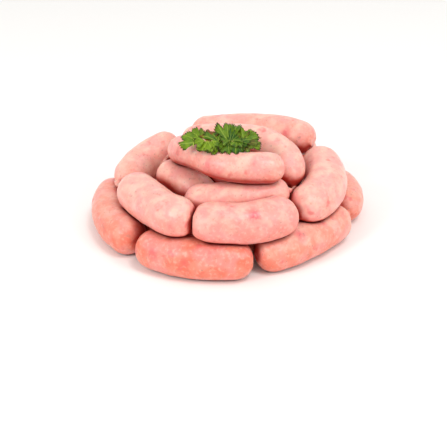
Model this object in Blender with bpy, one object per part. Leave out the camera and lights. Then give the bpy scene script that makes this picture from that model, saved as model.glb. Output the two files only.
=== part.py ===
"""A string of fresh pork sausage links, heaped in a low coil, with a parsley sprig on top.

Metres, +Z up. The heap rests on z = 0, and the origin is under the middle of its box.

The string is one chain. Each link is a stuffed length of casing: a tube round a gently curved
centre line, with blunt round ends that run out into half of the twist between it and the next
link. The filling is soft, so a link that lies against others is flattened where they press on
it, and the links on the board have a flat underside.
"""

import math

import bmesh
import bpy
import numpy as np
from mathutils import Matrix, Vector

MM = 0.001

# The links in their order along the string, from one free end to the other. Each has a name,
# its diameter, and the points that its centre line passes through, end to end, in millimetres.
STRING = (
    ("link_01_top_front", 23.5, ((46, -44, 72), (2, -42, 72), (-25, -17, 72), (-36, 6, 64))),
    ("link_02_inner_left", 28, ((-49, 5, 47), (-29, -14, 43), (-7, -25, 34))),
    ("link_03_inner_front", 29, ((-30, -42, 42.5), (9, -46, 44.5), (50, -38, 49.5))),
    ("link_04_top_middle", 27, ((47, -25, 47), (50, -8, 61), (30, 5, 71), (-3, 16, 69), (-32, 30, 60))),
    ("link_05_left_back", 30, ((-39, 49, 54), (-65, 40, 41), (-78.5, 3, 37))),
    ("link_06_left_front", 33, ((-75, -11, 40), (-55, -46.5, 42), (-37, -71, 44), (-19.5, -73.5, 43.5))),
    ("link_07_front", 32, ((-23, -74.5, 42.5), (14, -80, 42.5), (52, -60, 41.5))),
    ("link_08_right", 34.5, ((54, -52, 37), (80, -20, 42), (76, 31, 47))),
    ("link_09_top_back", 30, ((74, 34, 58), (52, 52, 59.5), (22, 67, 57), (-12, 70, 53), (-26, 75, 49))),
    ("link_10_back", 30, ((-26, 90, 38), (24, 91, 42), (78, 60, 36))),
    ("link_11_low_right", 30, ((88, 62, 14), (104, 28, 14), (97, -4, 14))),
    ("link_12_low_front_right", 32, ((94, -15, 15), (62, -56, 15), (24, -77, 15))),
    ("link_13_low_front", 32, ((22, -83, 15), (-20, -83, 15), (-64, -62, 15))),
    ("link_14_low_left", 31, ((-66, -57, 14.5), (-88, -24, 14.5), (-95, 8, 14.5), (-90, 37, 14.5))),
    ("link_15_low_left_back", 29, ((-78, 50, 13.5), (-64, 74, 13.5), (-31, 94, 13.5))),
    ("link_16_low_back", 31, ((-21, 97, 14.5), (22, 98, 14.5), (66, 75, 14.5))),
    ("link_17_core_right", 30, ((56, 62, 14), (62, 18, 14), (53, -20, 14))),
    ("link_18_core_front", 30, ((44, -37, 14), (0, -43, 14), (-42, -37, 14))),
    ("link_19_core_left", 29, ((-54, -26, 13.5), (-58, 10, 13.5), (-42, 46, 13.5))),
    ("link_20_core_back", 29, ((-26, 56, 18), (-8, 48, 34), (20, 38, 43), (48, 30, 42))),
    ("link_21_core_middle", 29, ((47, 10, 42), (12, -9, 43), (-19, 12, 42))),
)

PLAY = 0.0007  # left between links that touch
CAP = 1.0  # length of a link's rounded end, in radii
BLUNTNESS = 2.3  # 2 is a true half ball, and more is squarer
BELLY = 0.03  # how much a link swells and narrows along its length
BELLY_WAVES = 1.2  # swellings along a link
BELLY_STEP = 2.4  # radians that the swelling moves on from one link to the next
NECK_RADIUS = 0.0021  # of the twisted casing between two links
NECK_REACH = 0.8  # how far a twist runs straight on from a link's end, over the gap it crosses

STATION = 0.0022  # between the rings of a link
ROUNDING = np.array((0.0003, 0.001))  # more rings this far in from each end, where it rounds over
FEWEST_STATIONS = 8
CURVE_POINTS = 400  # of a centre line, before its stations are taken from it
TWIST_STATIONS = 12
SIDES = 28  # points in a ring
PRESS_ROUNDS = 30
LINK_TRIANGLES = 400

# The parsley stem, from its cut end along the sprig, and its leaves in the same millimetres. Each
# leaf has the place where it leaves the stem, its heading and its tilt in degrees, and its length.
STEM = ((-23, -13, 89), (-23, -33, 87), (-12, -37, 86), (4, -37, 85.8), (18, -35, 86))
LEAVES = (
    ((-20, -36, 86.3), 142, 17, 18),
    ((-13, -36.6, 86), 96, 24, 19),
    ((-12, -36.8, 86), 240, -10, 13),
    ((2, -37, 85.8), 213, -6, 16),
    ((4, -37, 85.8), 92, 23, 23),
    ((6, -36.8, 85.8), 74, 46, 17),
    ((5, -37, 85.8), 322, -4, 15),
    ((10, -36.3, 85.8), 82, 20, 19),
    ((17, -35, 86), 72, 21, 17),
    ((17, -35, 86), 34, 16, 16),
    ((17.5, -35, 86), 4, 2, 13),
)
STEM_RADIUS = 0.001
STEM_STATION = 0.005
STEM_SIDES = 6
LEAF_THICKNESS = 0.0016
LEAF_SPREAD = 44  # degrees to each side of a leaf's heading, at its stalk
LEAF_EDGE = (0.76, 0.86, 0.80, 0.68, 0.91, 1.0, 0.91, 0.68, 0.80, 0.86, 0.76)  # reach at each tooth
LEAF_PLAY = 0.0006  # left between a leaf and the links under it
DRAPE_ROUNDS = 6
DRAPE_SHARES = (0.3, 0.5, 0.75, 1.0)  # how far along a leaf it is held clear of the links
LEAF_CURL = 0.16  # how far the two sides of a leaf droop, as a share of its length

SAUSAGE = ("raw_sausage", (0.87, 0.50, 0.43), 0.38)
PARSLEY = ("parsley_leaf", (0.09, 0.20, 0.02), 0.5)


def clear_scene():
    for obj in list(bpy.data.objects):
        bpy.data.objects.remove(obj)


def make_material(name, colour, roughness):
    material = bpy.data.materials.new(name)
    material.use_nodes = True
    shader = material.node_tree.nodes["Principled BSDF"]
    shader.inputs["Base Color"].default_value = (*colour, 1)
    shader.inputs["Roughness"].default_value = roughness
    shader.inputs["Metallic"].default_value = 0
    return material


def evenly(curve, count):
    """count points along a curve of many points, the same length apart."""
    run = np.concatenate(([0], np.cumsum(np.linalg.norm(np.diff(curve, axis=0), axis=1))))
    at = np.linspace(0, run[-1], count)
    return np.stack([np.interp(at, run, curve[:, axis]) for axis in range(3)], axis=1), at


def hermite(start, end, start_slope, end_slope, u):
    return (
        (2 * u**3 - 3 * u**2 + 1) * start
        + (u**3 - 2 * u**2 + u) * start_slope
        + (3 * u**2 - 2 * u**3) * end
        + (u**3 - u**2) * end_slope
    )


def centre_line(points, station):
    """A smooth curve through the points, as stations about this far apart, and their places."""
    points = np.array(points, float) * MM
    steps = np.sqrt(np.linalg.norm(np.diff(points, axis=0), axis=1))
    knots = np.concatenate(([0], np.cumsum(steps)))
    slopes = np.gradient(points, knots, axis=0, edge_order=2)
    at = np.linspace(0, knots[-1], CURVE_POINTS)
    left = np.clip(np.searchsorted(knots, at, side="right") - 1, 0, len(points) - 2)
    width = steps[left][:, None]
    u = (at - knots[left])[:, None] / width
    curve = hermite(points[left], points[left + 1], slopes[left] * width, slopes[left + 1] * width, u)
    length = np.linalg.norm(np.diff(curve, axis=0), axis=1).sum()
    return evenly(curve, max(int(length / station), FEWEST_STATIONS))


class Link:
    """One link: its centre line, its radius at each station, and the core that it lies round."""

    def __init__(self, number, name, diameter, points):
        self.name = name
        line, at = centre_line(points, STATION)
        self.length = at[-1]
        self.at = np.sort(np.concatenate((at, ROUNDING, self.length - ROUNDING)))
        self.line = np.stack([np.interp(self.at, at, line[:, axis]) for axis in range(3)], axis=1)
        radius = diameter / 2 * MM
        swell = BELLY * np.sin(math.tau * BELLY_WAVES * self.at / self.length + BELLY_STEP * number)
        self.full = radius * (1 + swell)
        from_end = np.minimum(self.at, self.length - self.at) / (CAP * radius)
        in_cap = 1 - np.clip(from_end, 0, 1)
        self.radius = self.full * (1 - in_cap**BLUNTNESS) ** (1 / BLUNTNESS)
        self.core = from_end >= 1
        self.ways = np.gradient(self.line, axis=0)
        self.ways /= np.linalg.norm(self.ways, axis=1)[:, None]

    def depth(self, points):
        """How far outside the round link each point is, and the way in to the core."""
        away = self.line[self.core][None] - points[:, None]
        far = np.linalg.norm(away, axis=2)
        nearest = (far - self.full[self.core]).argmin(axis=1)
        row = np.arange(len(points))
        outside = (far - self.full[self.core])[row, nearest]
        return outside, away[row, nearest] / far[row, nearest][:, None]


def half_twist(link, other, links, forward):
    """Stations of link's half of the twist between it and other, from its end outwards."""
    end, far_end = (-1, 0) if forward else (0, -1)
    sign = 1 if forward else -1
    start, finish = link.line[end], other.line[far_end]
    gap = np.linalg.norm(finish - start)
    reach = gap * NECK_REACH
    u = np.linspace(0, 0.5 * (1 - PLAY / gap), TWIST_STATIONS)[:, None]
    path = hermite(
        start, finish, sign * link.ways[end] * reach, sign * other.ways[far_end] * reach, u
    )
    free = 0
    for point in path[1:]:
        rooms = [each.depth(point[None])[0][0] for each in links if each is not link]
        if min(rooms) < NECK_RADIUS + PLAY or point[2] < NECK_RADIUS:
            break
        free += 1
    return path[1 : free + 1]


def sweep(stations, radii, sides):
    """Rings of points round the stations, turned as little as possible from one to the next."""
    ways = np.gradient(stations, axis=0)
    side = Vector(ways[0]).orthogonal().normalized()
    last = Vector(ways[0]).normalized()
    rings = []
    for place, way, radius in zip(stations, ways, radii):
        way = Vector(way).normalized()
        side = last.rotation_difference(way) @ side
        last = way
        turns = (Matrix.Rotation(math.tau * k / sides, 3, way) for k in range(sides))
        rings.append([np.array(Vector(place) + turn @ side * radius) for turn in turns])
    return np.array(rings)


def press(points, link, links):
    """Moves each point of link in until it clears its neighbours and what the heap rests on."""
    low, high = points.min(axis=0) - PLAY, points.max(axis=0) + PLAY
    near = []
    for other in links:
        reach = other.full.max()
        apart = (other.line.min(axis=0) - reach > high) | (other.line.max(axis=0) + reach < low)
        if other is not link and not apart.any():
            near.append(other)
    for _ in range(PRESS_ROUNDS):
        outside, inwards = link.depth(points)
        room = np.min([other.depth(points)[0] for other in near], axis=0) - outside
        points += inwards * np.clip((PLAY - room) / 2, 0, None)[:, None]
    points[:, 2] = np.maximum(points[:, 2], 0)


def link_rings(link, before, after, links):
    """The whole skin of a link, as rings from the end of one half twist to the other's."""
    body = link.radius > NECK_RADIUS
    first = half_twist(link, before, links, False)[::-1] if before else link.line[:0]
    last = half_twist(link, after, links, True) if after else link.line[:0]
    stations = np.concatenate((first, link.line[body], last))
    radii = np.concatenate(
        (
            np.full(len(first), NECK_RADIUS),
            link.radius[body],
            np.full(len(last), NECK_RADIUS),
        )
    )
    rings = sweep(stations, radii, SIDES)
    pressed = rings[len(first) : len(first) + body.sum()].reshape(-1, 3)
    press(pressed, link, links)
    rings[len(first) : len(first) + body.sum()] = pressed.reshape(-1, SIDES, 3)
    return rings


def mesh_object(name, points, faces, material):
    mesh = bpy.data.meshes.new(name)
    mesh.from_pydata([tuple(point) for point in points], [], faces)
    shape = bmesh.new()
    shape.from_mesh(mesh)
    bmesh.ops.recalc_face_normals(shape, faces=shape.faces)
    shape.to_mesh(mesh)
    shape.free()
    mesh.shade_smooth()
    mesh.materials.append(material)
    obj = bpy.data.objects.new(name, mesh)
    bpy.context.collection.objects.link(obj)
    return obj


def skin_object(name, rings, material):
    """A closed mesh of rings, with a flat face at each end."""
    sides = len(rings[0])
    faces = []
    for row in range(len(rings) - 1):
        for side in range(sides):
            following = (side + 1) % sides
            a, b = row * sides + side, row * sides + following
            faces.append((a, b, b + sides, a + sides))
    top = (len(rings) - 1) * sides
    faces.append(tuple(range(sides)))
    faces.append(tuple(range(top, top + sides)))
    return mesh_object(name, rings.reshape(-1, 3), faces, material)


def thin_out(obj, triangles):
    thin = obj.modifiers.new("thin", "DECIMATE")
    thin.ratio = triangles / sum(len(face.vertices) - 2 for face in obj.data.polygons)


def leaf_points(base, heading, tilt, length):
    """The upper side of a toothed fan of a leaf: its stalk end, then its edge."""
    turn = Matrix.Rotation(math.radians(heading), 3, "Z") @ Matrix.Rotation(-math.radians(tilt), 3, "Y")
    spread = np.radians(np.linspace(-LEAF_SPREAD, LEAF_SPREAD, len(LEAF_EDGE)))
    droop = -LEAF_CURL * (spread / spread[-1]) ** 2
    edge = np.stack([np.cos(spread), np.sin(spread), droop], axis=1) * np.array(LEAF_EDGE)[:, None]
    points = np.concatenate((np.zeros((1, 3)), edge)) * length
    return (points @ np.array(turn).T + base) * MM


def leaf_faces():
    """The faces of a leaf whose lower points follow its upper ones in the same order."""
    lower = 1 + len(LEAF_EDGE)
    upper_faces = [(0, k, k + 1) for k in range(1, lower - 1)]
    faces = upper_faces + [tuple(point + lower for point in face) for face in upper_faces]
    for a in range(lower):
        b = (a + 1) % lower
        faces.append((a, b, b + lower, a + lower))
    return faces


def drape(upper, links):
    """Raises the edge of a leaf until no part of the leaf sinks into a link."""
    stalk, edge = upper[0], upper[1:]
    for _ in range(DRAPE_ROUNDS):
        for share in DRAPE_SHARES:
            under = stalk + (edge - stalk) * share - (0, 0, LEAF_THICKNESS)
            room = np.min([link.depth(under)[0] for link in links], axis=0)
            edge[:, 2] += np.clip(LEAF_PLAY - room, 0, None) / share
    return np.concatenate((upper, upper - (0, 0, LEAF_THICKNESS)))


def parsley_object(name, links, material, middle):
    """The sprig: a stem, and leaves that are joined to it into one body."""
    stations, _ = centre_line(STEM, STEM_STATION)
    rings = sweep(stations, np.full(len(stations), STEM_RADIUS), STEM_SIDES)
    sprig = skin_object(name, rings - middle, material)
    for number, row in enumerate(LEAVES):
        points = drape(leaf_points(*row), links)
        leaf = mesh_object(f"{name}_leaf_{number}", points - middle, leaf_faces(), material)
        leaf.hide_render = True
        join = sprig.modifiers.new(leaf.name, "BOOLEAN")
        join.operation = "UNION"
        join.object = leaf
    return sprig


def main():
    clear_scene()
    links = [Link(number, *row) for number, row in enumerate(STRING)]
    skins = []
    for number, link in enumerate(links):
        before = links[number - 1] if number else None
        after = links[number + 1] if number + 1 < len(links) else None
        skins.append(link_rings(link, before, after, links))
    low = np.min([rings.min(axis=(0, 1)) for rings in skins], axis=0)
    high = np.max([rings.max(axis=(0, 1)) for rings in skins], axis=0)
    middle = (low + high) / 2
    middle[2] = low[2]
    sausage = make_material(*SAUSAGE)
    for link, rings in zip(links, skins):
        thin_out(skin_object(link.name, rings - middle, sausage), LINK_TRIANGLES)
    parsley_object("parsley_sprig", links, make_material(*PARSLEY), middle)


main()
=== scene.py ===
# %% [markdown]
# # A string of fresh pork sausages
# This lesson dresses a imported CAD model: a heap of raw sausage links, twisted off one after another
# from one long casing, with a sprig of parsley on top. The CAD solids are faceted and plain. They say
# where everything is and how big it is, and nothing here moves them.
# The plan is to measure each solid, wrap a finely ribbed skin over it, shape what a butcher's hands
# and the casing leave behind, and then mix the colours of raw meat under a moist skin.

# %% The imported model
import math

import bpy
import numpy as np
from mathutils import Matrix, Vector, noise
from mathutils.bvhtree import BVHTree


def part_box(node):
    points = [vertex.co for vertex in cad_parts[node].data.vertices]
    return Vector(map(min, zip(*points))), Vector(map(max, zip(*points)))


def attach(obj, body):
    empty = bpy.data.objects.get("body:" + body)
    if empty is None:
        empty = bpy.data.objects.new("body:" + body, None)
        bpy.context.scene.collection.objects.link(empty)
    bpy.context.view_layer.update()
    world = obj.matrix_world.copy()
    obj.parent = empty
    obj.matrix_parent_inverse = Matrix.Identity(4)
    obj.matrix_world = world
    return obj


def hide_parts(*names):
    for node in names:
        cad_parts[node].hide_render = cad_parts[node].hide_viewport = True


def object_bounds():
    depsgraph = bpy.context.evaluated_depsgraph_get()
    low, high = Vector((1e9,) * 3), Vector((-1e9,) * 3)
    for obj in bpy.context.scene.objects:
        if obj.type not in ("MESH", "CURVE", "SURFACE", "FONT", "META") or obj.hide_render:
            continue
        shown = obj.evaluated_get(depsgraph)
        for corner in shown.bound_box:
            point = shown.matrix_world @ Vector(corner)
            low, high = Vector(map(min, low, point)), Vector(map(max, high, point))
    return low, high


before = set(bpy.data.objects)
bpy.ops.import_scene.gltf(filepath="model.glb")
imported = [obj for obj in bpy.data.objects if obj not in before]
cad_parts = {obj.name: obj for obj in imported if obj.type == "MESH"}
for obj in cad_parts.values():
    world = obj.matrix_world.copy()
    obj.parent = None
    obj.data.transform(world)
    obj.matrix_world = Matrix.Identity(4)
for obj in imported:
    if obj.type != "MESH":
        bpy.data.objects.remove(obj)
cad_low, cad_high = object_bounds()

MM = 0.001
UP = 2  # the index of the upright axis
ENDS = [0, -1]  # the first and the last of a row of things
cad_low, cad_high = (Vector(corner) for corner in (cad_low, cad_high))
link_nodes = sorted(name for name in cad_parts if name.startswith("link_"))
cad_sides = [round(side / MM) for side in cad_high - cad_low]
print(len(link_nodes), "links and a sprig,", cad_sides, "mm")

# %% [markdown]
# ## Reading a solid
# A glTF file stores each corner once for every face that meets there. Points at one place are made
# one again here, so that the faces know their neighbours.


# %% Points and triangles of a CAD solid
def solid_of(node):
    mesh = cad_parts[node].data
    mesh.calc_loop_triangles()
    corners = np.empty(len(mesh.vertices) * 3, np.float32)
    mesh.vertices.foreach_get("co", corners)
    faces = np.empty(len(mesh.loop_triangles) * 3, np.int32)
    mesh.loop_triangles.foreach_get("vertices", faces)
    corners = corners.reshape(-1, 3).astype(float)
    places = np.round(corners, 6)
    _, first, index = np.unique(places, axis=0, return_index=True, return_inverse=True)
    return corners[first], index.reshape(-1)[faces.reshape(-1, 3)]


def tree_of(meshes):
    """One search tree of the triangles of several meshes."""
    points, faces = [], []
    for corners, triangles in meshes:
        faces += (triangles + len(points)).tolist()
        points += corners.tolist()
    return BVHTree.FromPolygons(points, faces)


solids = {node: solid_of(node) for node in link_nodes}
trees = {node: tree_of([solids[node]]) for node in link_nodes}
print(sum(len(faces) for _, faces in solids.values()), "triangles in the links as they come")

# %% [markdown]
# ## The middle line of a link
# A link is bent, pressed flat here and there, and ends in a thin twist of casing, so no straight axis
# fits it. One way to find its middle is to let it warm up: hold one end at 0 degrees and the other at
# 1, and let the heat settle. Every ring of equal warmth goes once round the link, and the centres of
# those rings, in order, are its middle line. The warmth is one small set of linear equations.

# %% Warmth along a link
TIP = 4.5 * MM  # how much of each end is held at one warmth


def warmth(points, faces):
    """How warm each point of a link is, from 0 at one end to 1 at the other."""
    step = np.full((len(points), len(points)), np.inf)
    for a, b in ((0, 1), (1, 2), (2, 0)):
        i, j = faces[:, a], faces[:, b]
        step[i, j] = step[j, i] = np.linalg.norm(points[i] - points[j], axis=1)
    walk = step.copy()
    np.fill_diagonal(walk, 0)
    for via in range(len(points)):
        walk = np.minimum(walk, walk[:, via, None] + walk[None, via])
    start, finish = np.unravel_index(walk.argmax(), walk.shape)
    cold, hot = walk[start] < TIP, walk[finish] < TIP
    pull = 1 / step
    balance = np.diag(pull.sum(axis=1)) - pull
    free = ~(cold | hot)
    heat = hot.astype(float)
    from_hot = -balance[np.ix_(free, hot)].sum(axis=1)
    heat[free] = np.linalg.solve(balance[np.ix_(free, free)], from_hot)
    return heat


# %% Rings of equal warmth, and the line through their centres
RING_LEVELS = 400
LINE_STEP = 0.5 * MM
LINE_BLUR = 2.2 * MM
TIP_RINGS = 6  # the way out of a tip is measured over this many rings


def unit(vector):
    return vector / np.linalg.norm(vector)


def ring_at(points, faces, heat, level):
    """The centre and the mean radius of the ring where a link is this warm."""
    warm = heat[faces] > level
    cut = faces[warm.any(axis=1) & ~warm.all(axis=1)]
    ends = np.stack([cut, np.roll(cut, -1, axis=1)], axis=2)
    crossed = (heat[ends] > level).sum(axis=2) == 1
    a, b = ends[crossed].T
    share = ((level - heat[a]) / (heat[b] - heat[a]))[:, None]
    pairs = (points[a] + (points[b] - points[a]) * share).reshape(-1, 2, 3)
    lengths = np.linalg.norm(pairs[:, 1] - pairs[:, 0], axis=1)
    return np.average(pairs.mean(axis=1), axis=0, weights=lengths), lengths.sum() / math.tau


def blur(values, width):
    """A Gaussian blur of rows, whose ends keep their places."""
    reach = int(3 * width) + 1
    weights = np.exp(-0.5 * (np.arange(-reach, reach + 1) / width) ** 2)
    weights /= weights.sum()
    before = 2 * values[:1] - values[reach:0:-1]
    after = 2 * values[-1:] - values[-2 : -reach - 2 : -1]
    padded = np.concatenate((before, values, after))
    return sum(w * padded[k : k + len(values)] for k, w in enumerate(weights))


def run_along(curve):
    """How far along a curve each of its points is."""
    return np.concatenate(([0], np.cumsum(np.linalg.norm(np.diff(curve, axis=0), axis=1))))


def read_at(places, known, rows):
    """Each column of some rows, read at other places along them."""
    return np.stack([np.interp(places, known, column) for column in rows.T], axis=1)


def evenly(curve, step):
    """Places this far apart along a curve, and the points there."""
    run = run_along(curve)
    at = np.linspace(0, run[-1], int(run[-1] / step) + 1)
    return at, read_at(at, run, curve)


def middle_line(points, faces):
    """Places along a link's middle line, the line itself, and the radius of the link there."""
    heat = warmth(points, faces)
    levels = np.linspace(0, 1, RING_LEVELS + 2)[1:-1]
    rings = [ring_at(points, faces, heat, level) for level in levels]
    centres = np.array([centre for centre, _ in rings])
    radii = np.array([radius for _, radius in rings])
    tips = []
    for end, inner, held in ((0, TIP_RINGS, heat == 0), (-1, -1 - TIP_RINGS, heat == 1)):
        way = unit(centres[end] - centres[inner])
        tips.append(centres[end] + way * ((points[held] - centres[end]) @ way).max())
    line = np.concatenate(([tips[0]], centres, [tips[1]]))
    radii = np.concatenate((radii[:1], radii, radii[-1:]))
    at, both = evenly(np.column_stack((line, radii)), LINE_STEP)
    line = blur(both[:, :3], LINE_BLUR / LINE_STEP)
    return run_along(line), line, both[:, 3]


lines = {node: middle_line(*solids[node]) for node in link_nodes}
for node, (at, _, _) in lines.items():
    print(f"{node}: {at[-1] / MM:.0f} mm from tip to tip")

# %% [markdown]
# ## A straight run through the round ends
# Near a link's ends those rings turn into shallow cups, and their centres stop being a good guide. So
# the middle line is kept only where the link is full, and carried on from there into both round ends
# with the bend that it has.

# %% The axis of the filled part
CAP_SHARE = 1.05  # of the radius: how much of each end the axis is carried through
BEND_RUN = 18 * MM  # the bend is measured over this length
AXIS_STEP = 0.25 * MM
NECK = 2.8 * MM  # a link thinner than this is only twisted casing
FULL_SHARE = 0.5  # a link is full where it has this share of its usual radius
AXIS_BLUR = 3 * MM
CARRY = 1.6  # radii: how far the axis is carried on


def carried_on(line, at, count):
    """Points that carry a line on past its last point, with the bend that it ends with."""
    ways = np.gradient(line, at, axis=0)
    back = np.searchsorted(at, at[-1] - BEND_RUN)
    bend = (ways[-3] - ways[back]) / (at[-3] - at[back])
    on = (np.arange(count) + 1)[:, None] * AXIS_STEP
    return line[-1] + ways[-3] * on + bend * on**2 / 2


def filled_axis(at, line, radii):
    """The axis of a link's full part, carried on through both of its round ends."""
    full = np.flatnonzero(radii > FULL_SHARE * np.percentile(radii, 80))
    radius = np.median(radii[full])
    low, high = at[full[0]] + CAP_SHARE * radius, at[full[-1]] - CAP_SHARE * radius
    kept = np.linspace(low, high, int((high - low) / AXIS_STEP))
    middle = blur(read_at(kept, at, line), AXIS_BLUR / AXIS_STEP)
    count = int(CARRY * radius / AXIS_STEP)
    first = carried_on(middle[::-1], kept - kept[0], count)[::-1]
    return np.concatenate((first, middle, carried_on(middle, kept - kept[0], count)))


# %% [markdown]
# ## Wrapping a skin over each link
# A surface that will show gathers, lumps and a twisted neck needs rows of points that run round and
# along the sausage. So rings are set square to the axis, closer together where the link narrows, and
# from each ring rays go out until they meet the CAD solid. That keeps the flat places where links
# press on one another. A light blur then takes the facets off, as meat has none.

# %% Rings of rays
SIDES = 76  # points round a link
RIB = 0.95 * MM  # from ring to ring, measured along the outline
FACET_BLUR = 2.6  # in points round a ring
RIB_BLUR = 1.6  # in rings along
GIRTH_RAYS = 12  # enough to tell how thick a link is at a station
GIRTH_BLUR = 2  # in stations


def turning_frames(line):
    """At each station of a line its way on and two ways square to it, turned as little as can be."""
    ways = np.gradient(line, axis=0)
    ways /= np.linalg.norm(ways, axis=1)[:, None]
    side = np.cross(ways[0], (0, 0, 1) if abs(ways[0][UP]) < 0.9 else (1, 0, 0))
    sides = []
    for way in ways:
        side = unit(side - way * (side @ way))
        sides.append(side)
    sides = np.array(sides)
    return ways, sides, np.cross(ways, sides)


def spokes(line, count):
    """Directions square to the line, at even turns round each station."""
    _, sides, uprights = turning_frames(line)
    turns = (np.arange(count) * math.tau / count)[None, :, None]
    return sides[:, None] * np.cos(turns) + uprights[:, None] * np.sin(turns)


def cast(tree, centres, outward):
    """How far out from each centre each of its rays meets the solid."""
    reach = np.zeros(outward.shape[:2])
    for row, centre in enumerate(centres):
        for column, way in enumerate(outward[row]):
            _, _, _, far = tree.ray_cast(Vector(centre), Vector(way))
            reach[row, column] = far or 0
    return reach


def wrapped(node):
    """The ring centres, spokes and reaches of a link's filled part."""
    axis = filled_axis(*lines[node])
    girth = np.median(cast(trees[node], axis, spokes(axis, GIRTH_RAYS)), axis=1)
    middle = len(axis) // 2
    thin = np.flatnonzero(girth < NECK)
    low = thin[thin < middle].max(initial=-1) + 1
    high = thin[thin > middle].min(initial=len(axis))
    axis, girth = axis[low:high], blur(girth[low:high, None], GIRTH_BLUR)[:, 0]
    outline = np.concatenate(([0], np.cumsum(np.hypot(AXIS_STEP, np.diff(girth)))))
    stations = np.linspace(0, outline[-1], int(outline[-1] / RIB))
    stations = np.interp(stations, outline, np.arange(len(axis)))
    centres = read_at(stations, np.arange(len(axis)), axis)
    outward = spokes(centres, SIDES)
    reach = cast(trees[node], centres, outward)
    waves = np.fft.fftfreq(SIDES, 1 / SIDES) * math.tau * FACET_BLUR / SIDES
    reach = np.fft.ifft(np.fft.fft(reach, axis=1) * np.exp(-0.5 * waves**2), axis=1).real
    reach = blur(reach, RIB_BLUR)
    return centres, outward, reach


wraps = {node: wrapped(node) for node in link_nodes}
for node, (centres, _, reach) in wraps.items():
    print(f"{node}: {len(centres)} rings, about {2 * np.median(reach) / MM:.1f} mm thick")

# %% A link from its rings
def new_piece(name, points, faces):
    """A smooth mesh object, in the scene."""
    mesh = bpy.data.meshes.new(name)
    mesh.from_pydata(points.tolist(), [], faces)
    mesh.update()
    mesh.shade_smooth()
    obj = bpy.data.objects.new(name, mesh)
    bpy.context.scene.collection.objects.link(obj)
    return obj


def tube_faces(count, sides):
    """The four-sided faces between each ring of points and the next."""
    row, side = np.divmod(np.arange((count - 1) * sides), sides)
    a, b = row * sides + side, row * sides + (side + 1) % sides
    return np.stack((a, b, b + sides, a + sides), axis=1).tolist()


def ring_mesh(name, rings):
    """A closed mesh object of rings of points, with a fan of faces over each end."""
    count, sides = rings.shape[:2]
    points = np.concatenate((rings.reshape(-1, 3), rings[ENDS].mean(axis=1)))
    faces = tube_faces(count, sides)
    first, last = count * sides, count * sides + 1
    top = (count - 1) * sides
    for k in range(sides):
        following = (k + 1) % sides
        faces.append((first, following, k))
        faces.append((last, top + k, top + following))
    return new_piece(name, points, faces)


# %% [markdown]
# ## What the butcher leaves
# The filling is coarse, so the skin has low lumps a few millimetres across. Towards each end the casing
# is gathered into fine pleats, which run into the twist. Both are real relief, moved along the spokes,
# because light from the side shows them and a bump in the finish would not change the outline.

# %% Lumps and pleats
# The width and the height of each size of lump
LUMPS = ((11 * MM, 0.30 * MM), (4.5 * MM, 0.13 * MM), (2.2 * MM, 0.05 * MM))
PLEATS = (7, 11, 17)  # waves round the link
PLEAT_HEIGHT = 0.12 * MM
# Ends that are gathered more than the rest, 0 for a first end and 1 for a last, and how much more
GATHERED = {("link_14_low_left", 1): 2.6, ("link_01_top_front", 0): 2.2, ("link_10_back", 1): 2.0}
PLEAT_RUN = 5 * MM
PLEAT_START = 1.5 * MM
LINK_SHIFT = Vector((0.137, 0.071, 0.053))  # so that no two links have the same lumps


def lumps(points, number):
    """How far each point of a link rises or sinks."""
    rise = np.zeros(len(points))
    for width, height in LUMPS:
        for k, point in enumerate(points):
            rise[k] += height * noise.noise((Vector(point) + LINK_SHIFT * number) / width)
    return rise


def pleats(node, count, number):
    """Relief round and along a link that gathers towards both of its ends."""
    turns = np.arange(SIDES) * math.tau / SIDES
    relief = np.zeros((count, SIDES))
    for end in (0, 1):
        run = (np.arange(count) if end == 0 else np.arange(count)[::-1])[:, None] * RIB
        strength = PLEAT_HEIGHT * GATHERED.get((node, end), 1.0)
        strength = strength * np.exp(-run / PLEAT_RUN) * run / (run + PLEAT_START)
        for k, waves in enumerate(PLEATS):
            start = 2.3 * number + 1.7 * end + 0.9 * k  # no two ends are alike
            drift = 0.5 * np.sin(run / PLEAT_RUN + start)
            relief += strength * np.cos(waves * turns + start * waves + drift) / (k + 1)
    return relief


# %% [markdown]
# ## The twist between two links
# The butcher turns every other link over a few times, which winds the empty casing into a short cord.
# It leaves one link square to its round end and bends over to the next one's. Each link carries its
# own half, and where other links lie in the way, the cord is squeezed flat and can't be seen.

# %% The way of each half of a twist
TWIST_STEP = 0.3 * MM
TWIST_RADIUS = 1.75 * MM
TWIST_REACH = 0.8  # of the gap: how far a cord runs straight on from a round end
HALF = 0.505  # of the way: a little over half, so that the two halves meet
WAY_POINTS = 80
TWIST_ROOM = 1.1 * MM  # between a cord's middle and the nearest other link
SHORTEST_TWIST = 2.5 * MM  # a shorter half is squeezed flat between the links, and so is the other


def exit_of(node, end):
    """The middle of a link's last ring at one end, and the way straight out of it."""
    centres = wraps[node][0]
    return centres[end], unit(centres[end] - centres[1 if end == 0 else -2])


def room_beside(node, way):
    """How far each point of a way is outside every link but this one."""
    others = [wraps[other] for other in link_nodes if other != node]
    room = [
        (np.linalg.norm(way[:, None] - centres, axis=2) - reach.mean(axis=1)).min(axis=1)
        for centres, _, reach in others
    ]
    return np.min(room, axis=0)


def half_way(node, end, following, other_end):
    """Places along a link's half of the cord to another, and the points there."""
    (start, out), (finish, back) = exit_of(node, end), exit_of(following, other_end)
    u = np.linspace(0, HALF, WAY_POINTS)[:, None]
    slope = TWIST_REACH * np.linalg.norm(finish - start)
    way = (2 * u**3 - 3 * u**2 + 1) * start + (u**3 - 2 * u**2 + u) * slope * out
    way = way + (3 * u**2 - 2 * u**3) * finish - (u**3 - u**2) * slope * back
    at, way = evenly(way, TWIST_STEP)
    blocked = np.flatnonzero(room_beside(node, way) < TWIST_ROOM)
    free = blocked.min(initial=len(way))
    return at[:free], way[:free]


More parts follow.
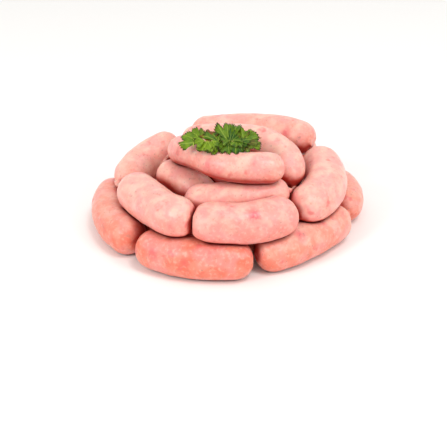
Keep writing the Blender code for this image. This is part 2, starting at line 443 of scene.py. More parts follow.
def nearest_ends(node, following):
    """The gap between the two ends of two links that are nearest to each other, and those ends."""
    both = [(a, b) for a in (0, -1) for b in (0, -1)]
    return min((np.linalg.norm(exit_of(node, a)[0] - exit_of(following, b)[0]), a, b) for a, b in both)


cords = {}
for node, following in zip(link_nodes, link_nodes[1:]):
    gap, a, b = nearest_ends(node, following)
    halves = {
        (node, a): half_way(node, a, following, b),
        (following, b): half_way(following, b, node, a),
    }
    shortest = min(at[-1] if len(at) else 0 for at, _ in halves.values())
    cords.update(halves if shortest > SHORTEST_TWIST else {})
    print(f"{node} to the next: {gap / MM:.1f} mm, the shorter half {shortest / MM:.1f} mm")

# %% Half a twist
TWIST_RIDGES = 5
TWIST_PITCH = 9 * MM
TWIST_DEPTH = 0.13
TWIST_BLEND = 1.1 * MM  # the round end narrows to the twist over about this length


def twist_rings(first_side, first_radius, at, way):
    """Rings from a link's last one out to the end of its half of the twist."""
    ways = np.gradient(way, axis=0)
    ways /= np.linalg.norm(ways, axis=1)[:, None]
    side, rings = first_side, []
    turns = np.arange(SIDES) * math.tau / SIDES
    for place, centre, along in zip(at[1:], way[1:], ways[1:]):
        side = unit(side - along * (side @ along))
        up = np.cross(along, side)
        wound = TWIST_DEPTH * (1 - math.exp(-place / TWIST_BLEND))
        blend = math.exp(-((place / TWIST_BLEND) ** 1.5))
        radius = TWIST_RADIUS + (first_radius - TWIST_RADIUS) * blend
        ridge = radius * (1 + wound * np.cos(TWIST_RIDGES * (turns - math.tau * place / TWIST_PITCH)))
        outward = side * np.cos(turns)[:, None] + up * np.sin(turns)[:, None]
        rings.append(centre + ridge[:, None] * outward)
    return np.array(rings)


# %% An end without a cord
CLOSING = ((0.72, 0.0), (0.42, 0.15 * MM), (0.15, 0.35 * MM))  # share of the last ring, and dip


def closing_rings(ring, centre, inner):
    """Rings that draw a link's last one in to a small dimple."""
    inwards = unit(inner - centre)
    return np.array([centre + (ring - centre) * share + inwards * dip for share, dip in CLOSING])


def mirrored(rings):
    """The same rings with their points in the other order round, from the same first point."""
    return np.roll(rings[:, ::-1], 1, axis=1)


# %% The rings of a whole link
BARE_RUN = 1.5 * MM  # the filling thins out to bare casing over about this length


def link_rings(node, number):
    """All the rings of a link, and how much of each is bare casing."""
    centres, outward, reach = wraps[node]
    points = (centres[:, None] + outward * reach[:, :, None]).reshape(-1, 3)
    relief = lumps(points, number).reshape(reach.shape) + pleats(node, len(reach), number)
    body = centres[:, None] + outward * (reach + relief)[:, :, None]
    parts, bare = [body], [np.zeros(len(body))]
    for end, inner in ((0, 1), (-1, -2)):
        if (node, end) in cords:
            at, way = cords[node, end]
            rings = twist_rings(outward[end, 0], reach[end].mean(), at, way)
            rings = mirrored(rings) if end == 0 else rings
            bareness = 1 - np.exp(-np.arange(len(rings)) * TWIST_STEP / BARE_RUN)
        else:
            rings = closing_rings(body[end], centres[end], centres[inner])
            bareness = np.zeros(len(rings))
        if end == 0:
            parts, bare = [rings[::-1], *parts], [bareness[::-1], *bare]
        else:
            parts, bare = [*parts, rings], [*bare, bareness]
    return np.concatenate(parts), np.concatenate(bare)


# %% The links
def store(obj, name, values):
    """Keeps a number or a vector for each point, for the finish to read."""
    kind, key = ("FLOAT", "value") if values.ndim == 1 else ("FLOAT_VECTOR", "vector")
    attribute = obj.data.attributes.new(name, kind, "POINT")
    attribute.data.foreach_set(key, np.ascontiguousarray(values, np.float32).ravel())


def read_back(obj, what):
    """A row for each point of a piece: its place is "co", and the way it faces is "normal"."""
    rows = np.empty(len(obj.data.vertices) * 3, np.float32)
    obj.data.vertices.foreach_get(what, rows)
    return rows.reshape(-1, 3).astype(float)


links = {}
for number, node in enumerate(link_nodes):
    rings, bare = link_rings(node, number)
    links[node] = ring_mesh("meat_" + node, rings)
    store(links[node], "grain", read_back(links[node], "co") + np.array(LINK_SHIFT) * number)
    store(links[node], "bare", np.concatenate((np.repeat(bare, SIDES), bare[ENDS])))
    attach(links[node], "root")
    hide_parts(node)
print(sum(len(obj.data.polygons) for obj in links.values()), "faces in all the links")

# %% [markdown]
# ## Where links press on each other
# Where links touch, the finish paints the skin dark red as painted contact shadow, for the shade that
# falls between them. Each point keeps how close the next link is, so that the finish can paint it
# there.

# %% How close the next link is
PRESS_PLAY = 0.8 * MM  # links this near are touching
PRESS_RUN = 0.9 * MM  # the painted contact shadow fades over about this distance
PRESS_REACH = 10 * MM
FAR_OFF = 1.0  # metres, and so further than any mark goes


def gap_beside(node, points):
    """How far each point of a link is from the next link, or from what the heap stands on."""
    gap = np.clip(points[:, UP], 0, FAR_OFF)
    for other in link_nodes:
        if other == node:
            continue
        low, high = (np.array(corner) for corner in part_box(other))
        near = (points > low - PRESS_REACH) & (points < high + PRESS_REACH)
        for k in np.flatnonzero(near.all(axis=1)):
            far = trees[other].find_nearest(Vector(points[k]), PRESS_REACH)[3]
            gap[k] = min(gap[k], FAR_OFF if far is None else far)
    return gap


for node in link_nodes:
    gap = gap_beside(node, read_back(links[node], "co"))
    # how near the next link is: it paints the contact shadow, and makes the skin rougher there
    store(links[node], "pressed_and_contact_shadow", np.exp(-np.clip(gap - PRESS_PLAY, 0, None) / PRESS_RUN))
    print(f"{node}: {(gap < PRESS_PLAY).mean():.0%} of its points touch something")

# %% [markdown]
# ## Leaner, rosier and redder places, and painted shade underneath
# No two links of a string have the same colour. The mince of one holds more lean, that of another has
# more bloom, and here and there a lump of redder meat lies against the skin. The undersides are painted
# leaner and darker as painted shade, and the meat gets leaner towards the bottom of the heap. These
# differences are stored as numbers on the points, so that one finish serves every link.

# %% How lean and how rosy each link is, and the painted underside shade
UNDERSIDE_SHADE, LOW_LEAN = 0.55, 0.35  # how much painted shade darkens an underside, and how much leaner the bottom of the heap is
MORE_LEAN = {
    "link_13_low_front": 0.50,
    "link_14_low_left": 0.27,
    "link_07_front": 0.22,
    "link_01_top_front": 0.16,
    "link_09_top_back": 0.16,
    "link_11_low_right": 0.12,
    "link_12_low_front_right": 0.10,
}
MORE_ROSY = {
    "link_07_front": 0.45,
    "link_01_top_front": 0.35,
    "link_03_inner_front": 0.40,
    "link_08_right": 0.35,
    "link_04_top_middle": 0.30,
    "link_06_left_front": 0.30,
    "link_02_inner_left": 0.30,
    "link_09_top_back": 0.25,
    "link_05_left_back": 0.15,
}


def facing_down(normals):
    """0 where a surface faces up, 1 where it faces down."""
    return 0.5 - 0.5 * normals[..., UP]


for node in link_nodes:
    height = read_back(links[node], "co")[:, UP] / cad_high[UP]
    under = facing_down(read_back(links[node], "normal"))
    # painted shade on the undersides, more lean towards the bottom, and each link's own lean
    lean_and_underside_shade = UNDERSIDE_SHADE * under + LOW_LEAN * (1 - height) + MORE_LEAN.get(node, 0)
    store(links[node], "lean_and_underside_shade", lean_and_underside_shade)
    store(links[node], "rosy", np.full(len(lean_and_underside_shade), MORE_ROSY.get(node, 0.0)))
print(len(MORE_LEAN), "leaner links and", len(MORE_ROSY), "rosier ones")

# %% Redder lumps under the skin
# The link, the middle of the lump in mm, how wide it is in mm, and how strongly it shows
RED_LUMPS = (
    ("link_07_front", (18, -97, 54), 7.0, 1.0),
    ("link_07_front", (20, -95, 57), 4.0, 0.9),
    ("link_09_top_back", (47, 28, 67), 5.5, 0.7),
    ("link_13_low_front", (-57, -94, 21), 6.0, 0.6),
    ("link_13_low_front", (-33, -104, 19), 5.0, 0.45),
    ("link_13_low_front", (-11, -98, 30), 5.5, 0.4),
    ("link_12_low_front_right", (53, -78, 28), 5.0, 0.6),
    ("link_01_top_front", (-16, -55, 74), 5.0, 0.5),
    ("link_01_top_front", (18, -62, 80), 3.5, 0.5),
    ("link_06_left_front", (-43, -94, 44), 4.5, 0.5),
)


def lump_share(node, points):
    """How strongly a redder lump shows at each point of a link."""
    share = np.zeros(len(points))
    for name, place, width, strength in RED_LUMPS:
        if name == node:
            far = np.linalg.norm(points - np.array(place) * MM, axis=1)
            fade = np.exp(-((far / (width / 2 * MM)) ** 2) / 2)
            share = np.maximum(share, strength * fade)
    return share


for node in link_nodes:
    store(links[node], "red_lump", lump_share(node, read_back(links[node], "co")))
print(len(RED_LUMPS), "redder lumps")

# %% [markdown]
# ## Painted shade deep in the heap
# Deep between the links every look outwards ends on more meat, and light that bounces from red to red
# comes back darker and redder each time, so the finish paints dark red shade there. A few rays go out
# from parts of the skin, and the share that meets another surface nearby is kept. Every fourth point
# each way is enough.

# %% Looks outwards from a place on the skin
LOOKS = 22
LOOK_FAR = 38 * MM
LOOK_LIFT = 0.9 * MM
SPARE = 4  # rings and points round that share one set of looks
TOP_SHARE, SIDE_SHARE = 0.60, 0.85  # it counts for less on top, where light still falls in


def even_looks(count):
    """Directions spread over a half ball about +Z, more of them near the middle, like falling light."""
    rank = (np.arange(count) + 0.5) / count
    turn = np.arange(count) * math.pi * (3 - math.sqrt(5))
    out = np.sqrt(rank)
    return np.stack((out * np.cos(turn), out * np.sin(turn), np.sqrt(1 - rank)), axis=1)


heap = tree_of(solids[node] for node in link_nodes)
looks = even_looks(LOOKS)


def crevice_shade_share(point, normal):
    """The share of looks from a point that meet meat."""
    turned = Vector(normal).to_track_quat("Z", "Y").to_matrix()
    start = Vector(point) + Vector(normal) * LOOK_LIFT
    seen = (heap.ray_cast(start, turned @ Vector(look), LOOK_FAR)[0] for look in looks)
    return sum(place is not None for place in seen) / LOOKS


# %% The share of looks that meet more meat
for node in link_nodes:
    rows = (len(links[node].data.vertices) - len(ENDS)) // SIDES
    points, normals = (
        read_back(links[node], what)[: -len(ENDS)].reshape(rows, SIDES, 3) for what in ("co", "normal")
    )
    kept = np.unique(np.append(np.arange(0, rows, SPARE), rows - 1))
    columns = range(0, SIDES, SPARE)
    found = [[crevice_shade_share(points[row, k], normals[row, k]) for k in columns] for row in kept]
    found = np.array([[*line, line[0]] for line in found])
    around = np.arange(SIDES) / SPARE
    wide = np.stack([np.interp(around, np.arange(found.shape[1]), line) for line in found])
    full = read_at(np.arange(rows), kept, wide)
    full *= TOP_SHARE + SIDE_SHARE * facing_down(normals)
    # the painted crevice shade, from the share of looks that meet meat
    store(links[node], "crevice_shade", np.append(full.ravel(), full[ENDS].mean(axis=1)))
    print(f"{node}: {full.mean():.2f} crowded")

# %% [markdown]
# ## The sprig
# A sprig of parsley has one thin main stalk, and leaflets on short stalks to both sides. A leaflet is a
# fan of three lobes, and every lobe is edged with small round teeth. It is creased along the veins,
# crinkled towards the edge, and about as thick as paper. Each fan here is a grid that runs out from the
# stalk, with the shape of its edge written as two waves round the fan: a slow one for the lobes, and a
# quick one for the teeth.

# %% One leaflet
FAN_COLUMNS, FAN_ROWS = 91, 18
LOBE_DEPTH, TOOTH_DEPTH, TEETH = 0.22, 0.12, 21
CREASE, CRINKLE, DROOP = 0.10, 0.07, 0.14  # as shares of the length
LEAF_THICK = 0.22 * MM


def fan_points(length, spread, seed):
    """A grid of points of a leaflet: its stalk end at the origin, its heading +X, its upper side +Z."""
    across = np.linspace(-1, 1, FAN_COLUMNS)[:, None]
    along = np.linspace(0.02, 1, FAN_ROWS)[None, :] ** 0.8
    lobe = np.abs(np.cos(1.5 * math.pi * across)) ** 0.6
    shifted = across + 0.03 * np.sin(9 * across + 5 * seed)
    tooth = np.abs(np.cos(TEETH * math.pi / 2 * shifted + seed)) ** 0.8
    uneven = 1 + 0.07 * np.sin(2.1 * across + 1.7 * seed) + 0.03 * np.sin(13 * across + seed)
    lobed, toothed = LOBE_DEPTH * (1 - lobe), TOOTH_DEPTH * (1 - tooth) * along**6
    reach = length * uneven * (1 - lobed) * (1 - toothed)
    turn = across * math.radians(spread)
    x, y = along * reach * np.cos(turn), along * reach * np.sin(turn)
    crease = CREASE * along * (1 - lobe)
    slow, quick = np.sin(3.3 * across + 2.0 * seed), np.sin(12 * across + seed)
    wave = CRINKLE * (slow * along**2 + 0.8 * quick * along**3)
    droop = DROOP * along**4 * (1 + 0.9 * np.sin(7 * across + 3 * seed))
    return np.stack((x, y, length * (crease + wave - droop)), axis=2)


# %% A thin sheet from a grid
def fan_mesh(top):
    """Points and faces of a closed thin sheet whose upper side is this grid."""
    along, across = np.gradient(top, axis=1), np.gradient(top, axis=0)
    normal = np.cross(along, across)
    normal /= np.linalg.norm(normal, axis=2)[:, :, None] + 1e-12
    points = np.concatenate((top.reshape(-1, 3), (top - normal * LEAF_THICK).reshape(-1, 3)))
    columns, rows = top.shape[:2]
    c, r = (grid.ravel() for grid in np.meshgrid(np.arange(columns - 1), np.arange(rows - 1)))
    a, below = c * rows + r, columns * rows
    faces = np.stack((a, a + 1, a + rows + 1, a + rows), axis=1)
    faces = np.concatenate((faces, faces[:, ::-1] + below))
    rim = [(k, 0) for k in range(columns - 1, 0, -1)]
    rim += [(0, k) for k in range(rows - 1)]
    rim += [(k, rows - 1) for k in range(columns - 1)]
    rim += [(columns - 1, k) for k in range(rows - 1, 0, -1)]
    rim = np.array([c * rows + r for c, r in rim])
    nearby = np.roll(rim, -1)
    edge = np.stack((nearby, rim, rim + below, nearby + below), axis=1)
    return points, np.concatenate((faces, edge)).tolist()


# %% [markdown]
# ## Laying the leaflets out
# Each row below is one leaflet. Its stalk end is given in millimetres from the middle of the sprig's
# CAD box, then its heading round the vertical, its rise and its roll in degrees, its length in
# millimetres and its half spread in degrees, and at last how dark and how withered it is. Where a
# leaflet would go into the meat it is lifted to lie on it, as a real one bends over what it rests on.

# %% The leaflets and stalks of the sprig
LEAFLETS = (
    (-15.0, -4.2, -0.8, 160, 16, -34, 16.0, 54, 0.35, 0.0),
    (-15.5, -3.0, -1.0, 116, 32, -12, 12.5, 50, 0.50, 0.2),
    (-8.0, -3.6, -0.8, 104, 30, 0, 11.5, 56, 0.30, 1.0),
    (-10.5, -4.4, 0.0, 80, 12, 8, 7.5, 56, 0.60, 1.0),
    (-9.5, -4.2, -0.2, 246, -24, 8, 11.5, 60, 0.00, 0.0),
    (-6.0, -4.6, 0.4, 290, -24, 8, 10.0, 56, 0.20, 0.0),
    (-3.5, -4.2, -0.6, 265, -26, 0, 12.0, 52, 0.35, 0.0),
    (6.5, -4.8, -1.6, 98, 50, 0, 18.5, 42, 0.45, 0.0),
    (7.5, -5.4, -1.7, 84, 50, 0, 12.5, 26, 1.00, 0.0),
    (5.5, -4.4, -0.2, 276, -26, 0, 12.5, 50, 0.65, 0.0),
    (11.5, -4.4, -0.4, 305, -22, 10, 12.5, 48, 0.85, 0.0),
    (1.5, -4.2, 0.0, 225, -8, -12, 10.5, 46, 0.60, 0.0),
    (13.5, -4.6, -0.2, 345, -6, 26, 11.0, 44, 0.75, 0.0),
    (13.5, -3.8, -1.2, 82, 32, 5, 13.5, 48, 0.60, 0.35),
    (18.0, -4.0, -1.2, 62, 30, 14, 14.0, 52, 0.35, 0.0),
    (18.0, -4.0, -1.2, 24, 12, 34, 13.5, 56, 0.45, 0.0),
    (17.0, -4.8, -1.2, 328, -12, 20, 11.5, 50, 0.80, 0.3),
    (-1.0, -3.8, -1.4, 128, 30, -8, 13.5, 50, 0.65, 0.0),
    (-4.6, -3.2, -1.4, 74, 24, 0, 11.0, 46, 0.90, 0.9),
    (-12.0, -4.4, 0.2, 196, -2, -30, 9.0, 50, 0.20, 0.0),
    (12.0, -4.6, 0.4, 268, -14, 0, 8.0, 50, 0.60, 0.0),
    (-2.0, -4.6, 0.2, 40, 16, 10, 9.5, 46, 0.50, 0.0),
    (7.0, -5.4, 0.4, 200, 14, -10, 8.0, 48, 0.70, 0.0),
    (9.0, -5.2, 0.4, 20, 12, 14, 8.5, 48, 0.80, 0.0),
)
STEM = (
    (-20.6, 17.4, -0.8),
    (-20.6, -1.6, -2.6),
    (-9.6, -4.4, -4.6),
    (6.4, -4.6, -4.9),
    (20.4, -4.4, -4.0),
)
SPARE_STALK = ((-20.4, -8.8, -3.4), (-20.2, -2.5, 0.8), (-19.6, 5.5, 4.2))
STEM_RADIUS, STALK_RADIUS = 0.75 * MM, 0.36 * MM
STEM_LINE = (0, -4.5, -4.7)  # the flat part of the stem, which the short stalks leave
ROOT_SHARE = 0.8  # how far along the stem a leaflet's stalk leaves it, as a share of the leaflet's x
STALK_BOW = (0, 0, 0.4)

stalks = [(STEM, STEM_RADIUS), (SPARE_STALK, STALK_RADIUS)]
for base in (np.array(row[:3]) for row in LEAFLETS):
    root = base * (ROOT_SHARE, 0, 0) + STEM_LINE
    stalks.append(((root, (root + base) / 2 + STALK_BOW, base), STALK_RADIUS))
print(len(LEAFLETS), "leaflets and", len(stalks), "stalks")

# %% Lying on the meat
SKIN_PLAY = 0.35 * MM  # a leaflet lies this far above the meat, on its own teeth
UNDER_SPRIG = 20 * MM  # a link that reaches this near to the sprig's lowest point may carry it
DROP = 50 * MM  # the rays that look for the meat start this far above the sprig

sprig_low, sprig_high = (np.array(corner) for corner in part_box("parsley_sprig"))
sprig_middle = (sprig_low + sprig_high) / 2
carriers = [node for node in link_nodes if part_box(node)[1][UP] > sprig_low[UP] - UNDER_SPRIG]
tops = tree_of(solids[node] for node in carriers)
print("The sprig may lie on", ", ".join(carriers))


def laid(points):
    """Points lifted to where they lie on the links, from above."""
    lifted = points.copy()
    for k, (x, y, z) in enumerate(points):
        hit = tops.ray_cast(Vector((x, y, sprig_high[UP] + DROP)), Vector((0, 0, -1)))[0]
        if hit is not None and hit.z + SKIN_PLAY > z:
            lifted[k, UP] = hit.z + SKIN_PLAY
    return lifted


# %% Sheets and stalks in one mesh
SEED_STEP = 0.9  # so that no two leaflets have the same edge
MARKS = ("across", "along", "dark", "withered")
ON_A_STALK = (0.0, 0.0, -1.0, 0.0)  # the marks of a stalk: a dark below 0 tells the finish so
sprig_points, sprig_faces, sprig_marks = [], [], []


def take_in(points, faces, marks):
    """Adds a sheet or a stalk to the sprig. Its faces count its own points from 0."""
    start = sum(map(len, sprig_points))
    sprig_points.append(points)
    sprig_faces.extend([start + k for k in face] for face in faces)
    sprig_marks.append(marks)


across, along = np.meshgrid(
    np.linspace(-1, 1, FAN_COLUMNS), np.linspace(0, 1, FAN_ROWS), indexing="ij"
)
for number, (x, y, z, heading, rise, roll, length, spread, dark, withered) in enumerate(LEAFLETS):
    turn = Matrix.Rotation(math.radians(heading), 3, "Z")
    turn = turn @ Matrix.Rotation(-math.radians(rise), 3, "Y")
    turn = np.array(turn @ Matrix.Rotation(math.radians(roll), 3, "X"))
    grid = fan_points(length * MM, spread, SEED_STEP * number) @ turn.T
    grid = grid + sprig_middle + np.array((x, y, z)) * MM
    points, faces = fan_mesh(laid(grid.reshape(-1, 3)).reshape(grid.shape))
    mark = (across, along, np.full(across.shape, dark), np.full(across.shape, withered))
    take_in(points, faces, np.tile(np.stack(mark, axis=2).reshape(-1, len(MARKS)), (2, 1)))
print(sum(map(len, sprig_points)), "points in the leaflets")

# %% The stalks
STALK_SIDES = 8
STALK_STEP = 0.2 * MM
LONG_STALK = 40  # steps: a stalk longer than this is bent more gently
BENDS = {True: (12, 1.2 * MM), False: (2, 0.4 * MM)}  # steps of blur, and from ring to ring


def stalk_rings(way, radius):
    """Rings round a stalk that bends smoothly past the points of its way, in mm from the middle."""
    way = evenly(np.array(way) * MM + sprig_middle, STALK_STEP)[1]
    softness, step = BENDS[len(way) > LONG_STALK]
    way = evenly(blur(way, softness), step)[1]
    return way[:, None] + spokes(way, STALK_SIDES) * radius


for way, radius in stalks:
    points = stalk_rings(way, radius)
    faces = tube_faces(len(points), STALK_SIDES)
    points = points.reshape(-1, 3)
    faces.append(range(STALK_SIDES - 1, -1, -1))
    faces.append(range(len(points) - STALK_SIDES, len(points)))
    take_in(points, faces, np.tile(ON_A_STALK, (len(points), 1)))

parsley = new_piece("parsley_leaflets", np.concatenate(sprig_points), sprig_faces)
for name, values in zip(MARKS, np.concatenate(sprig_marks).T):
    store(parsley, name, values)
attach(parsley, "root")
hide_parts("parsley_sprig")
print(len(parsley.data.polygons), "faces in the sprig")

# %% [markdown]
# ## Mixing finishes
# Colours are written as a paint shop writes them, in sRGB hex, and turned to the linear light that
# Cycles adds up. One helper adds a node, sets it, and wires its inputs. Both finishes are built like
# paint: a first colour, with thin coats over it, each of which follows something and comes in softly.


# %% Colours and nodes
def linear(hex_colour):
    """An sRGB hex colour as linear light."""
    shares = [int(hex_colour[k : k + 2], 16) / 255 for k in (1, 3, 5)]
    return (*[v / 12.92 if v <= 0.04045 else ((v + 0.055) / 1.055) ** 2.4 for v in shares], 1)


def add(tree, kind, sockets, **settings):
    """A new node with its settings, whose sockets take a value or another node's socket."""
    node = tree.nodes.new(kind)
    for name, value in settings.items():
        setattr(node, name, value)
    for key, value in sockets.items():
        if isinstance(value, bpy.types.NodeSocket):
            tree.links.new(value, node.inputs[key])
        else:
            node.inputs[key].default_value = value
    return node


def new_finish(name):
    material = bpy.data.materials.new(name)
    material.use_nodes = True
    material.node_tree.nodes.clear()
    return material, material.node_tree


# %% Coats of colour
EVEN, SOFT = "LINEAR", "SMOOTHSTEP"  # how a coat comes in


def coated(tree, colour, coats):
    """A colour with coats over it. A row is the coat's colour, what it follows, where that lets it
    in and where it is full, how much of it shows there, and how it comes in."""
    for over, value, low, high, share, ramp in coats:
        sockets = {"Value": value, "From Min": low, "From Max": high, "To Max": share}
        mask = add(tree, "ShaderNodeMapRange", sockets, interpolation_type=ramp).outputs[0]
        sockets = {0: mask, 6: colour, 7: over}
        colour = add(tree, "ShaderNodeMix", sockets, data_type="RGBA").outputs[2]
    print(tree.id_data.name, "has", len(coats), "coats over its first colour")
    return colour


# %% [markdown]
# ## Raw pork under natural casing
# Minced pork is lean meat and back fat, chopped to a few millimetres and pressed against a thin, wet,
# almost clear skin. So the colour is a patchwork: pink lean, creamy fat, a few redder pieces, and
# small grey-brown specks of pepper and sinew. Light goes a few millimetres in and comes out redder,
# which is what subsurface scattering draws, and the wet skin gives broad soft highlights. Shade is
# painted over that: darker undersides, dark red contact shadow and dark red shade deep in the heap.

# %% What the pork follows
# the lean and red colours also paint shade; the deep and dark reds are only painted shade
PALE, LEAN_AND_UNDERSIDE_SHADE = linear("#F4B4A2"), linear("#E5755B")
FAT, ROSE, RED_MEAT_AND_CONTACT_SHADE = linear("#F6CDB8"), linear("#EE9C9A"), linear("#DC5F5E")
PEPPER, CREVICE_SHADE_RED, CONTACT_SHADOW_RED = linear("#A07A6C"), linear("#B02414"), linear("#6A120B")
CASING, LUMP_RED = linear("#CF9784"), linear("#DE4A58")
MEAT_IOR = 1.40  # wet collagen

raw_pork, tree = new_finish("raw_pork_in_natural_casing")
grain = add(tree, "ShaderNodeAttribute", {}, attribute_name="grain").outputs["Vector"]
pressed_and_contact_shadow, bare, lean_and_underside_shade, crevice_shade, rosy, red_lump = (
    add(tree, "ShaderNodeAttribute", {}, attribute_name=name).outputs["Fac"]
    for name in ("pressed_and_contact_shadow", "bare", "lean_and_underside_shade", "crevice_shade", "rosy", "red_lump")
)


def cloud(width, shift):
    """Noise with patches about this wide. The shift gives each its own place in the grain."""
    moved = add(tree, "ShaderNodeVectorMath", {0: grain, 1: (shift, shift, shift)}, operation="ADD")
    sockets = {"Vector": moved.outputs[0], "Scale": 1 / width, "Detail": 2.0, "Roughness": 0.45}
    return add(tree, "ShaderNodeTexNoise", sockets).outputs["Fac"]


# %% Shares that change from place to place
LEAN_SHADE_LOW, LEAN_SHADE_HIGH = 0.10, 0.80  # from the palest meat to the leanest, with the painted underside shade
CREAM_ON_PALE, CREAM_ON_LEAN = 0.62, 0.155  # how much fat shows on each, so that less shows in the painted underside shade
sockets = {"Value": lean_and_underside_shade, "From Min": LEAN_SHADE_LOW, "From Max": LEAN_SHADE_HIGH}
sockets |= {"To Min": CREAM_ON_PALE, "To Max": CREAM_ON_LEAN}
cream_with_top_light = add(tree, "ShaderNodeMapRange", sockets).outputs[0]
sockets = {"Value": cloud(3.2 * MM, 2.48), "From Min": 0.30, "From Max": 0.70, "To Max": 0.9}
ragged = add(tree, "ShaderNodeMapRange", sockets, interpolation_type=SOFT).outputs[0]
ragged = add(tree, "ShaderNodeMath", {0: ragged, 1: 0.5}, operation="ADD", use_clamp=True).outputs[0]
# painted contact shadow: a broad red shade beside a touch, and a dark line where links touch
broad_contact_shade = add(tree, "ShaderNodeMath", {0: pressed_and_contact_shadow, 1: 0.6}, operation="POWER").outputs[0]
dark_contact_shadow = add(tree, "ShaderNodeMath", {0: pressed_and_contact_shadow, 1: 2.0}, operation="POWER").outputs[0]
print(len(tree.nodes), "nodes under the coats")

# %% Coats of lean, fat, red and pepper, and painted shade
pork_coats = (
    # lean meat, with the painted underside shade
    (LEAN_AND_UNDERSIDE_SHADE, lean_and_underside_shade, LEAN_SHADE_LOW, LEAN_SHADE_HIGH, 1.0, EVEN),
    (ROSE, cloud(15 * MM, 0.31), 0.42, 0.66, 0.50, SOFT),
    (ROSE, rosy, 0.0, 1.0, 1.0, EVEN),
    (FAT, cloud(8.5 * MM, 0.62), 0.40, 0.68, cream_with_top_light, SOFT),
    (FAT, cloud(2.6 * MM, 0.93), 0.48, 0.74, 0.30, SOFT),
    (RED_MEAT_AND_CONTACT_SHADE, cloud(9.0 * MM, 1.24), 0.62, 0.76, 0.65, SOFT),
    (LUMP_RED, red_lump, 0.0, 1.0, ragged, EVEN),
    (PEPPER, cloud(1.9 * MM, 1.55), 0.62, 0.73, 0.42, SOFT),
    (PEPPER, cloud(4.6 * MM, 1.86), 0.62, 0.74, 0.20, SOFT),
    (CASING, bare, 0.0, 1.0, 0.7, EVEN),
    # painted shade beside a touch, painted shade deep in the heap, and a painted dark contact shadow
    (RED_MEAT_AND_CONTACT_SHADE, broad_contact_shade, 0.0, 1.0, 0.35, EVEN),
    (CREVICE_SHADE_RED, crevice_shade, 0.36, 0.82, 0.92, SOFT),
    (CONTACT_SHADOW_RED, dark_contact_shadow, 0.0, 1.0, 0.95, EVEN),
)
colour = coated(tree, PALE, pork_coats)

# %% Wet skin over soft meat
WET, DRIER = 0.34, 0.50  # roughness of wetter and drier patches of skin
PRESSED_DRY = 0.4  # more roughness where the wet film is squeezed out
sockets = {"Value": cloud(8 * MM, 2.17), "From Min": 0.35, "From Max": 0.65}
sockets |= {"To Min": WET, "To Max": DRIER}
wetness = add(tree, "ShaderNodeMapRange", sockets, interpolation_type=SOFT).outputs[0]
sockets = {0: pressed_and_contact_shadow, 1: PRESSED_DRY, 2: wetness}
roughness = add(tree, "ShaderNodeMath", sockets, operation="MULTIPLY_ADD", use_clamp=True).outputs[0]
sockets = {"Vector": grain, "Scale": 1 / (1.3 * MM), "Detail": 2.0}
fine = add(tree, "ShaderNodeTexNoise", sockets).outputs["Fac"]
sockets = {"Height": fine, "Strength": 0.25, "Distance": 0.12 * MM}
relief = add(tree, "ShaderNodeBump", sockets).outputs[0]
shader = add(
    tree,
    "ShaderNodeBsdfPrincipled",
    {
        "Base Color": colour,
        "Roughness": roughness,
        "Normal": relief,
        "IOR": MEAT_IOR,
        "Subsurface Weight": 0.45,
        "Subsurface Radius": (1.0, 0.36, 0.22),  # red light goes furthest through meat
        "Subsurface Scale": 3.0 * MM,
        "Coat Weight": 0.45,
        "Coat Roughness": 0.28,
        "Coat IOR": 1.36,
    },
)
add(tree, "ShaderNodeOutputMaterial", {"Surface": shader.outputs[0]})
for obj in links.values():
    obj.data.materials.append(raw_pork)
print(raw_pork.name, "has", len(tree.nodes), "nodes")

# %% [markdown]
# ## Fresh parsley
# A parsley leaf is matt, a little waxy, and yellow-green where light comes through it. The veins are
# paler: one runs out along each lobe, and finer ones slant off it to the teeth. The teeth dry out
# first, so their tips are brown.

# %% Where the veins and the dry tips are
BRIGHT_GREEN, DEEP_GREEN = linear("#6E8B0A"), linear("#184A03")
VEIN, TIP_BROWN, WITHERED = linear("#9DAE40"), linear("#382C05"), linear("#7E4410")
LEAF_IOR = 1.36  # thin leaf wax, with air under it

leaf_green, tree = new_finish("fresh_parsley_leaf")
across, along, dark, withered = (
    add(tree, "ShaderNodeAttribute", {}, attribute_name=name).outputs["Fac"] for name in MARKS
)
place = add(tree, "ShaderNodeTexCoord", {}).outputs["Object"]
sockets = {"Vector": place, "Scale": 1 / (3.2 * MM), "Detail": 3.0}
blotches = add(tree, "ShaderNodeTexNoise", sockets).outputs["Fac"]
uneven = add(tree, "ShaderNodeMath", {0: blotches, 1: 0.5}, operation="SUBTRACT").outputs[0]
sockets = {0: uneven, 1: 1.6, 2: dark}
shade = add(tree, "ShaderNodeMath", sockets, operation="MULTIPLY_ADD", use_clamp=True).outputs[0]
lobes = add(tree, "ShaderNodeMath", {0: across, 1: 1.5}, operation="MULTIPLY").outputs[0]
nearest = add(tree, "ShaderNodeMath", {0: lobes}, operation="ROUND").outputs[0]
aside = add(tree, "ShaderNodeMath", {0: lobes, 1: nearest}, operation="SUBTRACT").outputs[0]
aside = add(tree, "ShaderNodeMath", {0: aside}, operation="ABSOLUTE").outputs[0]
aside = add(tree, "ShaderNodeMath", {0: aside, 1: along}, operation="MULTIPLY").outputs[0]
sockets = {0: aside, 1: -1.3, 2: along}
slant = add(tree, "ShaderNodeMath", sockets, operation="MULTIPLY_ADD").outputs[0]
slant = add(tree, "ShaderNodeMath", {0: slant, 1: 0.085}, operation="PINGPONG").outputs[0]
sockets = {0: uneven, 1: 0.35, 2: along}
tips = add(tree, "ShaderNodeMath", sockets, operation="MULTIPLY_ADD").outputs[0]
print(len(tree.nodes), "nodes under the coats")

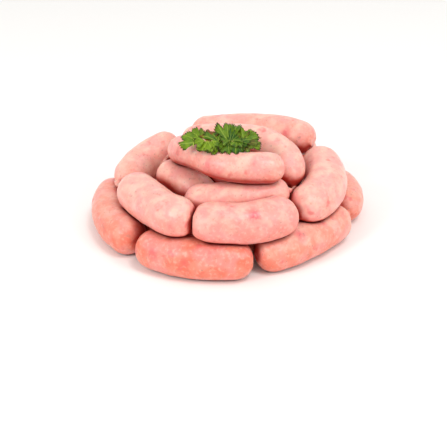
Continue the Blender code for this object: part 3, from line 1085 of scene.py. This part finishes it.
# %% Coats of green, veins and brown tips
leaf_coats = (
    (DEEP_GREEN, shade, 0.0, 1.0, 1.0, EVEN),
    (VEIN, aside, 0.055, 0.0, 0.55, SOFT),
    (VEIN, slant, 0.016, 0.0, 0.30, SOFT),
    (WITHERED, blotches, 0.35, 0.6, withered, SOFT),
    (TIP_BROWN, tips, 0.86, 0.99, 0.85, SOFT),
    (VEIN, dark, -0.2, -0.8, 1.0, SOFT),  # the stalks
)
colour = coated(tree, BRIGHT_GREEN, leaf_coats)
sockets = {"Height": slant, "Strength": 0.35, "Distance": 0.4 * MM}
relief = add(tree, "ShaderNodeBump", sockets).outputs[0]
shader = add(
    tree,
    "ShaderNodeBsdfPrincipled",
    {
        "Base Color": colour,
        "Roughness": 0.55,
        "Normal": relief,
        "IOR": LEAF_IOR,
        "Subsurface Weight": 0.12,
        "Subsurface Radius": (0.5, 1.0, 0.10),  # green light goes furthest through a leaf
        "Subsurface Scale": 0.7 * MM,
    },
)
add(tree, "ShaderNodeOutputMaterial", {"Surface": shader.outputs[0]})
parsley.data.materials.append(leaf_green)
print(leaf_green.name, "has", len(tree.nodes), "nodes")

# %% [markdown]
# ## The floor and the light
# Food is often shown in a bright white studio, where light comes from everywhere and shadows are
# short and soft. So an even white world does most of the work here. Three small soft boxes add the
# wet highlights and give the heap a lighter and a darker side.

# %% Floor and world
FLOOR_SIZE = 6
FLOOR_DROP = 0.2 * MM  # the floor lies this far under the heap, so that the two never flicker
bpy.ops.mesh.primitive_plane_add(size=FLOOR_SIZE, location=(0, 0, -FLOOR_DROP))
floor = bpy.context.object
floor.name = "pale_floor"
matt, tree = new_finish("pale_floor")
sockets = {"Base Color": linear("#F8F6F3"), "Roughness": 0.7}
shader = add(tree, "ShaderNodeBsdfPrincipled", sockets)
add(tree, "ShaderNodeOutputMaterial", {"Surface": shader.outputs[0]})
floor.data.materials.append(matt)
world = bpy.data.worlds.new("studio")
world.use_nodes = True
background = world.node_tree.nodes["Background"]
background.inputs["Color"].default_value = linear("#FFFFFF")
background.inputs["Strength"].default_value = 0.80
bpy.context.scene.world = world
print("a floor", FLOOR_SIZE, "m across")

# %% Soft boxes
BOX_SIDE = 0.5
AIM = Vector((0, 0, 0.03))
SOFT_BOXES = (  # name, place in metres, watts
    ("overhead_light", (0.45, -0.7, 1.7), 9.5),
    ("left_light", (-1.3, -1.2, 1.2), 12),
    ("right_light", (1.3, -1.1, 1.2), 7.5),
)
for name, place, power in SOFT_BOXES:
    lamp = bpy.data.lights.new(name, "AREA")
    lamp.size, lamp.energy = BOX_SIDE, power
    obj = bpy.data.objects.new(name, lamp)
    obj.location = place
    obj.rotation_euler = (AIM - Vector(place)).to_track_quat("-Z", "Y").to_euler()
    bpy.context.scene.collection.objects.link(obj)
print(len(SOFT_BOXES), "soft boxes")

# %% [markdown]
# ## The camera
# A camera a little above the table shows the top of the heap and still keeps the rows apart. It looks
# at a place just beside the middle of the heap, on the table.

# %% Camera
TARGET = Vector((-4.54, -7.43, 0)) * MM
ELEVATION = math.radians(28)
DISTANCE = 0.75
camera = bpy.data.cameras.new("camera")
camera.lens, camera.sensor_width = 72.1, 36
camera_object = bpy.data.objects.new("camera", camera)
bpy.context.scene.collection.objects.link(camera_object)
away = Vector((0, -math.cos(ELEVATION), math.sin(ELEVATION))) * DISTANCE
camera_object.location = TARGET + away
camera_object.rotation_euler = (-away).to_track_quat("-Z", "Y").to_euler()
bpy.context.scene.camera = camera_object
bpy.context.scene.view_settings.view_transform = "Standard"
print("the camera is", [round(side, 3) for side in camera_object.location])
